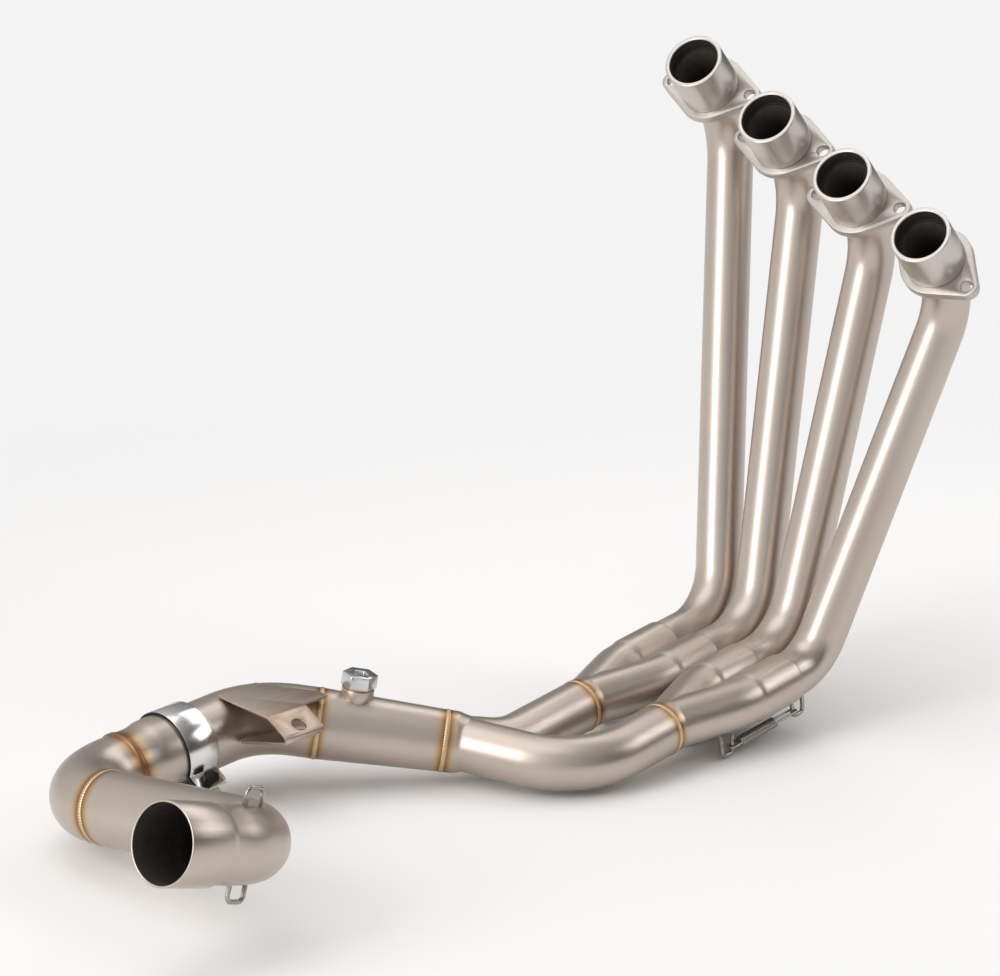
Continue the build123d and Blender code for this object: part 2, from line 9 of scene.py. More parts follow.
import bmesh
import bpy
from mathutils import Matrix, Vector


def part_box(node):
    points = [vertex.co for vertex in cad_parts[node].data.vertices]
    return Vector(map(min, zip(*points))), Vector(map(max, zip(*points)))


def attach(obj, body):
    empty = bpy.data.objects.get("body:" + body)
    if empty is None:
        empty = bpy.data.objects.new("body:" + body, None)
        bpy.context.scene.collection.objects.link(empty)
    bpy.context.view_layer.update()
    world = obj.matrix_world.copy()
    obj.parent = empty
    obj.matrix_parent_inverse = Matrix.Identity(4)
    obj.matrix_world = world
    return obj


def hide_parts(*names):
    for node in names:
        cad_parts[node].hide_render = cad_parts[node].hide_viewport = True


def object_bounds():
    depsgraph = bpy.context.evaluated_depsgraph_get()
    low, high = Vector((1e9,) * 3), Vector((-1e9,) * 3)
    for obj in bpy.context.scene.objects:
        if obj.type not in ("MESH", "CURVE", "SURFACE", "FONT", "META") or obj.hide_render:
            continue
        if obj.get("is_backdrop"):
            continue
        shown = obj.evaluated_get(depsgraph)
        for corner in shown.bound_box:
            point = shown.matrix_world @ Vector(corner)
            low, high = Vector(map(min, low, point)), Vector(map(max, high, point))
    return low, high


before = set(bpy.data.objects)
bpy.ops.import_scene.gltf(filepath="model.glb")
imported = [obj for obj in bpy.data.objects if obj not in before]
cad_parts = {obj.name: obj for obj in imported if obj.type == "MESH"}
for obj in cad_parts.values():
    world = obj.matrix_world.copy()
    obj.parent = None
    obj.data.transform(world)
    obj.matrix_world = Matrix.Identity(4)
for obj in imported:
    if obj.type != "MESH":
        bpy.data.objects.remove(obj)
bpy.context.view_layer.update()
MM = 0.001
ROOT_BODY = "header"
CREASE = 35.0  # degrees: sharper edges stay sharp
FLAT = 0.4  # degrees: flatter edges of the CAD meshes are dissolved
SAME_SPOT = 1e-6  # metres: nearer vertices are one
SEAM = 0.5  # millimetres from the middle of a weld to the end of a tube under its bead
log = logging.getLogger("header")

Point = Vector
Pair = tuple[float, float]
Triple = tuple[float, float, float]
Colour = Triple
Profile = list[Pair]
Route = Sequence[Point]
Station = tuple[Point, float, float]
Spot = Callable[[int], Pair]
Inputs = dict[Union[str, int], object]
BMesh = bmesh.types.BMesh
Material = bpy.types.Material
Node = bpy.types.Node
Object = bpy.types.Object
Socket = bpy.types.NodeSocket
Tree = bpy.types.NodeTree


@dataclass(frozen=True)
class Weld:
    """A welded joint: where its heat tint is centred.

    Attributes:
        centre: Middle of the joint, in metres in the row frame.
        axis: Direction of the tube there.
        radius: Outer radius of the tube there, in metres.
        reach: How far the tint spreads to each side, in metres.
    """

    centre: Point
    axis: Point
    radius: float
    reach: float


def turned(vector: Point, axis: Point, degrees: float) -> Point:
    """Vector turned about an axis through the origin, by the right-hand rule."""
    return Matrix.Rotation(math.radians(degrees), 3, axis) @ vector


@dataclass
class Layout:
    """Sizes and corner points of the header's middle lines, in millimetres as in the part's source."""

    port_pitch: float = 84.7
    row_drop: float = 21.8
    row_yaw: float = -7.65
    port_tilt: float = 43.6
    spigot_length: float = 37.0
    slip_centre: Triple = (116.0, -108.0, -409.4)
    slip_pitch: float = 38.3
    slip_slope: float = 7.0
    collector_length: float = 116.4
    left_run: float = 79.0
    right_run: float = 84.0
    merge_exit: Triple = (-59.0, -236.0, -14.0)
    mid_corner: Triple = (-155.0, -328.0, 6.5)
    link_corner: Triple = (-159.5, -505.0, -7.5)
    elbow_corner: Triple = (62.0, -510.0, 17.0)
    outlet: Triple = (64.0, -614.0, 48.0)
    cone_length: float = 89.4
    sleeve_end: float = 120.4
    link_bend_end: float = 53.0
    branch_radius: float = 19.25
    merge_radius: float = 22.0
    tail_radius: float = 25.2
    port_radius: float = 22.0
    port_reach: float = 14.0
    sleeve_reach: float = 13.0
    link_reach: float = 11.0

    def __post_init__(self) -> None:
        """Works out directions and shared points from the sizes."""
        x, y, z = Vector((1, 0, 0)), Vector((0, 1, 0)), Vector((0, 0, 1))
        self.across = x
        self.row = turned(turned(x, y, self.row_drop), z, self.row_yaw)
        tilted = turned(-y, x, -self.port_tilt)
        self.port_dir = turned(turned(tilted, y, self.row_drop), z, self.row_yaw)
        self.flow = turned(-y, x, self.slip_slope)
        self.below = x.cross(self.flow)
        if self.below.z > 0:
            self.below = -self.below
        base = Vector(self.slip_centre)
        half = self.port_dir * (self.spigot_length / 2)
        self.mouths = [self.row * (self.port_pitch * n) + half for n in range(4)]
        self.slips = [base + x * (self.slip_pitch * (n - 1.5)) for n in range(4)]
        self.axes = [base - x * self.slip_pitch, base + x * self.slip_pitch]
        self.exits = [start + self.flow * self.collector_length for start in self.axes]
        corners = (self.merge_exit, self.mid_corner, self.link_corner, self.elbow_corner, self.outlet)
        points = [base + Vector(corner) for corner in corners]
        self.merge, self.mid, self.link, self.elbow, self.mouth_out = points
        ways = [(after - before).normalized() for before, after in zip(points, points[1:])]
        self.cone_dir, self.mid_dir, self.cross_dir, self.outlet_dir = ways
        self.cone_end = self.merge + self.cone_dir * self.cone_length
        self.sleeve_weld = self.mid + self.mid_dir * self.sleeve_end
        self.link_weld = self.link + self.cross_dir * self.link_bend_end

    def weld(self, centre: Point, axis: Point, radius: float, reach: float = 9.0) -> Weld:
        """A weld in metres from a place in millimetres."""
        return Weld(centre * MM, axis.copy(), radius * MM, reach * MM)

    def welds(self) -> dict[str, Weld]:
        """Every weld with a visible ring, by name.

        Returns:
            The rings at the collector exits, the second merge, the cone, the sleeve and the link bend.
        """
        return {
            "left_exit": self.weld(self.exits[0], self.flow, self.branch_radius),
            "right_exit": self.weld(self.exits[1], self.flow, self.branch_radius),
            "merge": self.weld(self.merge, self.cone_dir, self.merge_radius),
            "cone": self.weld(self.cone_end, self.cone_dir, self.tail_radius),
            "sleeve": self.weld(self.sleeve_weld, self.mid_dir, self.tail_radius, self.sleeve_reach),
            "link": self.weld(self.link_weld, self.cross_dir, self.tail_radius, self.link_reach),
        }

    def port_welds(self) -> dict[str, Weld]:
        """The hidden welds at the feet of the spigots, by name.

        Returns:
            One weld for each port, which tints its tube but has no ring.
        """
        feet = [mouth - self.port_dir * self.spigot_length for mouth in self.mouths]
        made = [self.weld(foot, self.port_dir, self.port_radius, self.port_reach) for foot in feet]
        return {f"port_{n}": weld for n, weld in enumerate(made, 1)}


LAYOUT = Layout()
WELDS = LAYOUT.welds()
TINTS = {**WELDS, **LAYOUT.port_welds()}


def fill(tree: Tree, node: Node, inputs: Inputs) -> None:
    """Links or sets a node's inputs.

    Args:
        tree: The tree of the node.
        node: The node.
        inputs: A socket to link or a plain value to set, by the input's name or number.
    """
    for key, value in inputs.items():
        if isinstance(value, Socket):
            tree.links.new(value, node.inputs[key])
        else:
            node.inputs[key].default_value = value


def linked(tree: Tree, kind: str, inputs: Optional[Inputs] = None, **values: object) -> Node:
    """Adds a node, sets its plain properties and then fills its inputs.

    Args:
        tree: The tree that gets the node.
        kind: Blender's type name of the node.
        inputs: Sockets or values for its inputs.
        values: Properties of the node to set.

    Returns:
        The new node.
    """
    node = tree.nodes.new(kind)
    for key, value in values.items():
        setattr(node, key, value)
    fill(tree, node, inputs or {})
    return node


def maths(tree: Tree, operation: str, *inputs: object, clamp: bool = False) -> Socket:
    """Result of a number operation on sockets or plain numbers."""
    node = linked(tree, "ShaderNodeMath", dict(enumerate(inputs)), operation=operation, use_clamp=clamp)
    return node.outputs[0]


def vector_maths(tree: Tree, operation: str, *inputs: object) -> Socket:
    """Result of a vector operation: a vector for a difference, or else a number."""
    node = linked(tree, "ShaderNodeVectorMath", dict(enumerate(inputs)), operation=operation)
    return node.outputs["Vector" if operation == "SUBTRACT" else "Value"]


def ranged(
    tree: Tree, source: Socket, span: Pair, target: Pair = (0.0, 1.0), curve: str = "LINEAR"
) -> Socket:
    """Carries a value from one range to another.

    Args:
        tree: The tree that gets the node.
        source: The value.
        span: Range that the value comes from.
        target: Range that it is carried to.
        curve: Blender's name of the interpolation.

    Returns:
        The carried value.
    """
    limits = {"From Min": span[0], "From Max": span[1], "To Min": target[0], "To Max": target[1]}
    node = linked(tree, "ShaderNodeMapRange", {"Value": source, **limits}, interpolation_type=curve)
    return node.outputs["Result"]


def mixed(tree: Tree, factor: object, first: object, second: object, blend: str = "MIX") -> Socket:
    """Blends two colours, each a socket or four numbers, by a factor."""
    inputs = {"Factor": factor, "A": first, "B": second}
    return linked(tree, "ShaderNodeMix", inputs, data_type="RGBA", blend_type=blend).outputs["Result"]


def shader_of(name: str) -> tuple[Material, Tree, Node]:
    """A new material with its tree and its main shader."""
    material = bpy.data.materials.new(name)
    material.use_nodes = True
    return material, material.node_tree, material.node_tree.nodes["Principled BSDF"]


class Streak(Enum):
    """What the brushed streaks of a metal follow, by the name of the coordinates."""

    UV = "UV"
    OBJECT = "Object"


STREAK_SQUASH = {Streak.UV: (0.02, 1.0, 1.0), Streak.OBJECT: (1.0, 0.05, 1.0)}
STREAK_NOISE = {"Scale": 900.0, "Detail": 3.0}
STREAK_SPAN = (0.3, 0.7)
STREAK_DEPTH = 0.0004
MOTTLE_NOISE = {"Scale": 11.0, "Detail": 5.0, "Roughness": 0.6}
MOTTLE_SPAN = (0.4, 0.72)
MOTTLE_MOST = 0.6
HEAT_ROUND = 1.6
HEAT_WANDER = (0.5, 0.75)
HEAT_TONES = (
    (0.0, (1.0, 1.0, 1.0)),
    (0.35, (0.98, 0.88, 0.70)),
    (0.62, (0.88, 0.65, 0.38)),
    (0.85, (0.66, 0.40, 0.24)),
    (1.0, (0.50, 0.30, 0.17)),
)


@dataclass(frozen=True)
class Steel:
    """A satin metal with brushed streaks, soft mottling and heat tint beside its welds.

    Attributes:
        name: Material name.
        colour: Plain metal colour.
        worn: Colour of the darker, warmer mottling.
        roughness: Middle roughness.
        spread: How far roughness varies.
        streak: What the streaks follow.
        bump: Strength of the streaks' relief.
        welds: Joints that tint the metal.
        tint: Strength of the tint.
    """

    name: str
    colour: Colour
    worn: Colour
    roughness: float = 0.3
    spread: float = 0.08
    streak: Streak = Streak.OBJECT
    bump: float = 0.008
    welds: tuple[Weld, ...] = ()
    tint: float = 1.0

    def heat(self, tree: Tree, place: Socket) -> Optional[Socket]:
        """Nearness to the welds, from 0 away from them to 1 on them.

        Args:
            tree: The material's tree.
            place: Socket with object coordinates.

        Returns:
            A value socket, or None where the metal has no weld.
        """
        total: Optional[Socket] = None
        for weld in self.welds:
            away = vector_maths(tree, "SUBTRACT", place, weld.centre)
            side = maths(tree, "ABSOLUTE", vector_maths(tree, "DOT_PRODUCT", away, weld.axis))
            size = vector_maths(tree, "LENGTH", away)
            inside = maths(tree, "LESS_THAN", size, weld.radius * HEAT_ROUND + weld.reach)
            near = ranged(tree, side, (weld.reach, 0.0), curve="SMOOTHSTEP")
            here = maths(tree, "MULTIPLY", near, inside)
            total = here if total is None else maths(tree, "MAXIMUM", total, here)
        return total

    def make(self) -> Material:
        """Builds the material.

        Returns:
            The finished material.
        """
        material, tree, shader = shader_of(self.name)
        coords = linked(tree, "ShaderNodeTexCoord").outputs
        place = coords["Object"]
        squash = {"Vector": coords[self.streak.value], "Scale": STREAK_SQUASH[self.streak]}
        fine = linked(tree, "ShaderNodeMapping", squash).outputs["Vector"]
        streaks = linked(tree, "ShaderNodeTexNoise", {"Vector": fine, **STREAK_NOISE}).outputs["Fac"]
        mottle = linked(tree, "ShaderNodeTexNoise", {"Vector": place, **MOTTLE_NOISE}).outputs["Fac"]
        cloud = ranged(tree, mottle, MOTTLE_SPAN, (0.0, MOTTLE_MOST))
        colour = mixed(tree, cloud, (*self.colour, 1.0), (*self.worn, 1.0))
        heat = self.heat(tree, place)
        if heat is not None:
            wander = maths(tree, "MULTIPLY_ADD", mottle, *HEAT_WANDER)
            warm = maths(tree, "MULTIPLY", heat, wander, clamp=True)
            ramp = linked(tree, "ShaderNodeValToRGB", {"Fac": warm})
            stops = ramp.color_ramp.elements
            for stop, (spot, tone) in zip(stops, (HEAT_TONES[0], HEAT_TONES[-1])):
                stop.position, stop.color = spot, (*tone, 1.0)
            for spot, tone in HEAT_TONES[1:-1]:
                stops.new(spot).color = (*tone, 1.0)
            colour = mixed(tree, self.tint, colour, ramp.outputs["Color"], "MULTIPLY")
        rough = ranged(tree, streaks, STREAK_SPAN, (self.roughness - self.spread, self.roughness + self.spread))
        relief = {"Strength": self.bump, "Distance": STREAK_DEPTH, "Height": streaks}
        normal = linked(tree, "ShaderNodeBump", relief).outputs["Normal"]
        fill(tree, shader, {"Base Color": colour, "Roughness": rough, "Normal": normal, "Metallic": 1.0})
        return material


@dataclass(frozen=True)
class Soot:
    """Dry black soot inside the pipes."""

    name: str = "soot"
    colour: Colour = (0.010, 0.008, 0.007)
    ash: Colour = (0.045, 0.036, 0.030)
    scale: float = 160.0
    detail: float = 6.0
    roughness: float = 0.75

    def make(self) -> Material:
        """Builds the material.

        Returns:
            The finished material.
        """
        material, tree, shader = shader_of(self.name)
        place = linked(tree, "ShaderNodeTexCoord").outputs["Object"]
        noise = {"Vector": place, "Scale": self.scale, "Detail": self.detail}
        grain = linked(tree, "ShaderNodeTexNoise", noise).outputs["Fac"]
        colour = mixed(tree, grain, (*self.colour, 1.0), (*self.ash, 1.0))
        fill(tree, shader, {"Base Color": colour, "Roughness": self.roughness, "Metallic": 0.0})
        return material


STEEL_COLOUR: Colour = (0.56, 0.49, 0.435)
STEEL_WORN: Colour = (0.51, 0.435, 0.375)
STEEL_SPREAD = 0.04
STEEL_BUMP = 0.006
SOOT = Soot().make()
BEAD = Steel("weld_gold", (0.70, 0.54, 0.34), (0.56, 0.40, 0.23), 0.34, 0.06).make()
WIRE = Steel("drawn_wire", (0.42, 0.40, 0.38), (0.34, 0.31, 0.28), 0.3, 0.06).make()
TURNED = Steel("turned_steel", (0.60, 0.56, 0.525), (0.52, 0.475, 0.435), 0.33, 0.05).make()
PLATE = Steel("flange_plate", (0.53, 0.495, 0.46), (0.48, 0.44, 0.40), 0.42, 0.06).make()
ZINC = Steel("zinc_plate", (0.70, 0.71, 0.73), (0.58, 0.58, 0.58), 0.22, 0.06).make()
COPPER = Steel("copper_washer", (0.66, 0.40, 0.27), (0.5, 0.29, 0.19), 0.35, 0.08).make()
POLISHED = Steel("clamp_polish", (0.80, 0.79, 0.78), (0.72, 0.70, 0.68), 0.21, 0.04, bump=0.004).make()
# Black oxide of the bolt and nut; on the clamp band's rear edge the same black is painted shade, not a real
# finish
BLACK_OXIDE_AND_PAINTED_SHADE = Steel("black_oxide_and_painted_shade", (0.035, 0.034, 0.033), (0.02, 0.02, 0.02), 0.42, 0.08).make()


def steel(
    name: str, *welds: str, streak: Streak = Streak.UV, rough: float = 0.37, tint: float = 1.0
) -> Material:
    """The header's satin tube steel, tinted by the named welds.

    Args:
        name: Material name.
        welds: Names of the welds that tint it.
        streak: What the streaks follow.
        rough: Middle roughness.
        tint: Strength of the tint.

    Returns:
        The finished material.
    """
    joints = tuple(TINTS[key] for key in welds)
    return Steel(
        name, STEEL_COLOUR, STEEL_WORN, rough, STEEL_SPREAD, streak, STEEL_BUMP, joints, tint
    ).make()


def fillet_route(corners: Route, radii: Sequence[float], step: float = 2.0, least: int = 6) -> list[Point]:
    """Points along straight runs joined by tangent arcs.

    Args:
        corners: Start, corners and end, in millimetres.
        radii: One bend radius for each corner between the ends.
        step: Spacing of the points on the arcs.
        least: Fewest steps on an arc.

    Returns:
        The points in order.
    """
    route = [corners[0].copy()]
    for index in range(1, len(corners) - 1):
        corner, radius = corners[index], radii[index - 1]
        back = (corners[index - 1] - corner).normalized()
        ahead = (corners[index + 1] - corner).normalized()
        half = back.angle(ahead) / 2
        reach = radius / math.tan(half)
        centre = corner + (back + ahead).normalized() * (radius / math.sin(half))
        start = corner + back * reach - centre
        sweep = math.pi - 2 * half
        hinge = start.cross(corner + ahead * reach - centre).normalized()
        count = max(least, int(radius * sweep / step))
        for k in range(count + 1):
            route.append(centre + Matrix.Rotation(sweep * k / count, 3, hinge) @ start)
    route.append(corners[-1].copy())
    return route


def thinned(route: Route, least: float = 1e-4) -> list[Point]:
    """The route without points that lie on the one before."""
    points = [route[0]]
    for point in route[1:]:
        if (point - points[-1]).length > least:
            points.append(point)
    return points


def spokes(axis: Point, flat: Point, sides: int) -> list[Point]:
    """Unit directions round an axis, from the flat one on."""
    other = axis.cross(flat)
    turns = [math.tau * j / sides for j in range(sides)]
    return [flat * math.cos(turn) + other * math.sin(turn) for turn in turns]


def framed(points: Route, side: Point, sides: int) -> list[tuple[float, list[Point]]]:
    """Walks along a middle line with as little twist as possible.

    Args:
        points: Points of the line, in millimetres.
        side: A direction that isn't along the start of the line.
        sides: Directions to give round each point.

    Returns:
        Length of the line so far, in metres, and the directions round it, for each point.
    """
    last, run, flat = len(points) - 1, 0.0, side
    frames = []
    for k, point in enumerate(points):
        before, after = points[max(k - 1, 0)], points[min(k + 1, last)]
        tangent = (after - before).normalized()
        flat = (flat - tangent * flat.dot(tangent)).normalized()
        run += (point - before).length * MM
        frames.append((run, spokes(tangent, flat, sides)))
    return frames


def ringed(mesh: BMesh, point: Point, rays: Route, radius: float) -> list[bmesh.types.BMVert]:
    """Adds a ring of vertices at a radius in millimetres along the rays from a point."""
    return [mesh.verts.new((point + ray * radius) * MM) for ray in rays]


def unmapped(_: int) -> Pair:
    """Spot on the UV map of faces that don't use it."""
    return 0.0, 0.0


def banded(
    mesh: BMesh,
    first: Sequence[bmesh.types.BMVert],
    second: Sequence[bmesh.types.BMVert],
    first_spot: Spot = unmapped,
    second_spot: Spot = unmapped,
    material: int = 0,
) -> None:
    """Joins two rings of vertices with a band of quads.

    Args:
        mesh: The mesh that gets the quads, with its UV layer.
        first: One ring.
        second: The next ring, with as many vertices.
        first_spot: Spot on the UV map by number in the first ring.
        second_spot: Spot on the UV map by number in the second ring.
        material: Material slot of the quads.
    """
    layer = mesh.loops.layers.uv.active
    sides = len(first)
    for j in range(sides):
        n = (j + 1) % sides
        face = mesh.faces.new((first[j], first[n], second[n], second[j]))
        face.material_index = material
        spots = (first_spot(j), first_spot(j + 1), second_spot(j + 1), second_spot(j))
        for loop, spot in zip(face.loops, spots):
            loop[layer].uv = spot


def piped(mesh: BMesh, stations: Sequence[Station], sides: int, side: Point, bright: int = 0) -> None:
    """Adds a closed thin-walled tube whose bore takes the second material.

    Args:
        mesh: The mesh that gets the tube, in metres.
        stations: Point of the middle line, outer radius and bore radius, in millimetres.
        sides: Facets round the tube.
        side: A direction that isn't along the start of the tube.
        bright: How many of the bore's last bands keep the outer material.
    """
    mesh.loops.layers.uv.verify()
    last = len(stations) - 1
    outer, inner, runs = [], [], []
    frames = framed([station[0] for station in stations], side, sides)
    for (point, wide, bore), (run, rays) in zip(stations, frames):
        outer.append(ringed(mesh, point, rays, wide))
        inner.append(ringed(mesh, point, rays, bore))
        runs.append(run)
    for k in range(last):
        step = math.tau * stations[k][1] * MM / sides
        ends = (lambda j: (runs[k], step * j), lambda j: (runs[k + 1], step * j))
        banded(mesh, outer[k], outer[k + 1], *ends)
        banded(mesh, inner[k + 1], inner[k], material=1 if k < last - bright else 0)
    banded(mesh, inner[0], outer[0], material=1)
    banded(mesh, outer[last], inner[last])


def swept(mesh: BMesh, route: Route, radius: float, sides: int, side: Point) -> None:
    """Adds a round bar along a route, with a UV map that runs along and round it.

    Args:
        mesh: The mesh that gets the bar, in metres.
        route: Points of the middle line, in millimetres.
        radius: Radius of the bar, in millimetres.
        sides: Facets round the bar.
        side: A direction that isn't along the start of the bar.
    """
    mesh.loops.layers.uv.verify()
    points = thinned(route)
    rings, runs = [], []
    for point, (run, rays) in zip(points, framed(points, side, sides)):
        rings.append(ringed(mesh, point, rays, radius))
        runs.append(run)
    step = math.tau * radius * MM / sides
    for k in range(len(rings) - 1):
        ends = (lambda j: (runs[k], step * j), lambda j: (runs[k + 1], step * j))
        banded(mesh, rings[k], rings[k + 1], *ends)
    mesh.faces.new(list(reversed(rings[0])))
    mesh.faces.new(rings[-1])


def lathed(
    mesh: BMesh,
    origin: Point,
    axis: Point,
    profile: Profile,
    sides: int,
    dark: Sequence[int] = (),
    closed: bool = False,
    round_map: float = 6.28,
) -> None:
    """Adds a turned shape, with a UV map that runs round it.

    Args:
        mesh: The mesh that gets the shape, in metres.
        origin: Point on the axis where stations start, in millimetres.
        axis: Direction of the axis.
        profile: Radius and station of each corner, in order round the section.
        sides: Facets round the axis.
        dark: Indices of the profile's spans that take the second material.
        closed: Whether the last corner joins the first.
        round_map: Width of the UV map for each unit of radius.
    """
    mesh.loops.layers.uv.verify()
    rays = spokes(axis, axis.orthogonal().normalized(), sides)
    rings, spots = [], []
    for radius, station in profile:
        rings.append(ringed(mesh, origin + axis * station, rays, radius))
        step, along = radius * round_map / sides * MM, station * MM
        spots.append(lambda j, step=step, along=along: (step * j, along))
    for k in range(len(profile) if closed else len(profile) - 1):
        after = (k + 1) % len(profile)
        banded(mesh, rings[k], rings[after], spots[k], spots[after], 1 if k in dark else 0)


def bell(throat: Pair, radius: float, land: float, end: float) -> Profile:
    """Section of a solid bell that widens to a round exit.

    Args:
        throat: Station and radius of the narrow end.
        radius: Radius of the exit.
        land: Station where the exit's full radius is reached.
        end: Station of the wide end.

    Returns:
        Radius and station of each corner.
    """
    station, narrow = throat
    return [(0.0, station), (narrow, station), (radius, land), (radius, end), (0.0, end)]


def placed(name: str, data: bpy.types.ID) -> Object:
    """A new object in the scene for a mesh, a light or a camera."""
    thing = bpy.data.objects.new(name, data)
    bpy.context.scene.collection.objects.link(thing)
    return thing


def shaded(data: bpy.types.Mesh, crease: Optional[float]) -> None:
    """Shades a mesh smooth, apart from edges sharper than the crease in degrees, if one is given."""
    data.shade_smooth()
    if crease is not None:
        data.set_sharp_from_angle(angle=math.radians(crease))


def piece_from(mesh: BMesh, name: str, *materials: Material, crease: Optional[float] = CREASE) -> Object:
    """Turns a mesh under construction into an object at the origin.

    Args:
        mesh: The finished mesh, in metres in the row frame.
        name: Name of the piece.
        materials: Its materials in slot order.
        crease: Edges sharper than this many degrees stay sharp, or None for none.

    Returns:
        The new object.
    """
    bmesh.ops.recalc_face_normals(mesh, faces=mesh.faces)
    data = bpy.data.meshes.new(name)
    mesh.to_mesh(data)
    mesh.free()
    for material in materials:
        data.materials.append(material)
    shaded(data, crease)
    return placed(name, data)


def settle(thing: Object, body: str, slot: str, *nodes: str) -> None:
    """Rides a piece on its body in place of its CAD nodes.

    Args:
        thing: The piece.
        body: The body that carries it.
        slot: Not used.
        nodes: CAD nodes that it stands for.
    """
    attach(thing, body)
    if nodes:
        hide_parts(*nodes)
    log.info("%s rides on %s, %d faces", thing.name, body, len(thing.data.polygons))


def flatten(thing: Object) -> None:
    """Applies a piece's modifiers, so that it is a plain mesh."""
    graph = bpy.context.evaluated_depsgraph_get()
    made = bpy.data.meshes.new_from_object(thing.evaluated_get(graph), depsgraph=graph)
    old = thing.data
    thing.modifiers.clear()
    thing.data = made
    bpy.data.meshes.remove(old)


def cad_copy(node: str, material: Material, bevel: float = 0.0, crease: float = CREASE) -> Object:
    """A cleaned copy of a CAD node with smooth shading and softened edges.

    Args:
        node: CAD node to copy.
        material: Its finish.
        bevel: Width of the softened edges, in millimetres, or 0 for none.
        crease: Edges sharper than this many degrees are kept or softened.

    Returns:
        The new object.
    """
    mesh = bmesh.new()
    mesh.from_mesh(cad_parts[node].data)
    bmesh.ops.remove_doubles(mesh, verts=mesh.verts, dist=2 * SAME_SPOT)
    bmesh.ops.dissolve_limit(mesh, angle_limit=math.radians(FLAT), verts=mesh.verts, edges=mesh.edges)
    for face in mesh.faces:
        face.material_index = 0
    thing = piece_from(mesh, node + "_finish", material, crease=crease)
    if bevel:
        soft = thing.modifiers.new("edges", "BEVEL")
        soft.width = bevel * MM
        soft.segments = 2
        soft.limit_method = "ANGLE"
        soft.angle_limit = math.radians(crease)
        flatten(thing)
        shaded(thing.data, crease)
    return thing


def formed(mesh: BMesh, node: str, metal: Material, voxel: float = 0.8, passes: int = 7) -> None:
    """Joins overlapping closed shapes into one formed skin with soft creases, on the header.

    Args:
        mesh: The shapes.
        node: CAD node that the skin stands for.
        metal: Its finish.
        voxel: Size of the skin's grid, in millimetres.
        passes: Smoothing passes over the skin.
    """
    bmesh.ops.remove_doubles(mesh, verts=mesh.verts, dist=SAME_SPOT)
    skin = piece_from(mesh, node + "_skin", metal)
    grid = skin.modifiers.new("skin", "REMESH")
    grid.mode = "VOXEL"
    grid.voxel_size = voxel * MM
    grid.use_smooth_shade = True
    soft = skin.modifiers.new("soft", "SMOOTH")
    soft.factor = 0.5
    soft.iterations = passes
    flatten(skin)
    shaded(skin.data, None)
    settle(skin, ROOT_BODY, "tube", node)


@dataclass
class PortEnd:
    """A turned spigot with its sooty bore, and the loose flange behind it."""

    index: int
    outer: float = 22.2
    mouth: float = 18.85
    ledge: float = 11.0
    foot: float = 17.65
    rim: float = 0.9
    sides: int = 96
    flange_edge: float = 0.9

    def profile(self) -> Profile:
        """Section of the spigot from its outer foot round the rim to the ledge.

        Returns:
            Radius and station of each corner, with a rounded rim.
        """
        length, rim = LAYOUT.spigot_length, self.rim
        corners = [(self.foot, -length), (self.outer, -length), (self.outer, -rim)]
        rounds = ((self.outer - rim, (30, 60, 90)), (self.mouth + rim, (90, 120, 150, 180)))
        for centre, turns in rounds:
            for turn in map(math.radians, turns):
                corners.append((centre + rim * math.cos(turn), -rim + rim * math.sin(turn)))
        return [*corners, (self.mouth, -self.ledge), (self.foot, -self.ledge)]

    def build(self) -> None:
        """Makes the spigot and the flange and rides them on their bodies."""
        number = self.index + 1
        corners = self.profile()
        bore = range(len(corners) - 3, len(corners))
        mesh = bmesh.new()
        lathed(mesh, LAYOUT.mouths[self.index], LAYOUT.port_dir, corners, self.sides, bore, closed=True)
        spigot = piece_from(mesh, f"spigot_{number}_turned", TURNED, SOOT)
        settle(spigot, ROOT_BODY, "spigot", f"spigot_{number}")
        flange = cad_copy(f"flange_{number}", PLATE, self.flange_edge)
        settle(flange, f"flange_{number}", "flange", f"flange_{number}")


@dataclass
class PrimaryTube:
    """One mandrel-bent primary from its spigot to its slip socket."""

    index: int
    radius: float = 17.5
    wall: float = 1.2
    start: float = 11.3
    corner_depth: float = 83.5
    top_bend: float = 50.0
    low_bends: tuple[float, ...] = (58.0, 58.0, 56.0, 38.0)
    low_runs: tuple[float, ...] = (65.0, 62.0, 53.0, 32.0)
    inset: float = 38.0
    sides: int = 72
    rough: float = 0.36
    tint: float = 0.7

    def route(self) -> list[Point]:
        """Middle line of the tube, in millimetres."""
        mouth, slip = LAYOUT.mouths[self.index], LAYOUT.slips[self.index]
        corners = [
            mouth - LAYOUT.port_dir * self.start,
            mouth - LAYOUT.port_dir * self.corner_depth,
            slip - LAYOUT.flow * self.low_runs[self.index],
            slip + LAYOUT.flow * self.inset,
        ]
        return fillet_route(corners, (self.top_bend, self.low_bends[self.index]))

    def build(self) -> None:
        """Makes the tube with its bore and rides it on the header."""
        number = self.index + 1
        name = f"primary_{number}_tube"
        stations = [(point, self.radius, self.radius - self.wall) for point in thinned(self.route())]
        mesh = bmesh.new()
        piped(mesh, stations, self.sides, LAYOUT.row)
        metal = steel(name + "_steel", f"port_{number}", rough=self.rough, tint=self.tint)
        tube = piece_from(mesh, name, metal, SOOT, crease=None)
        settle(tube, ROOT_BODY, "tube", f"primary_{number}")


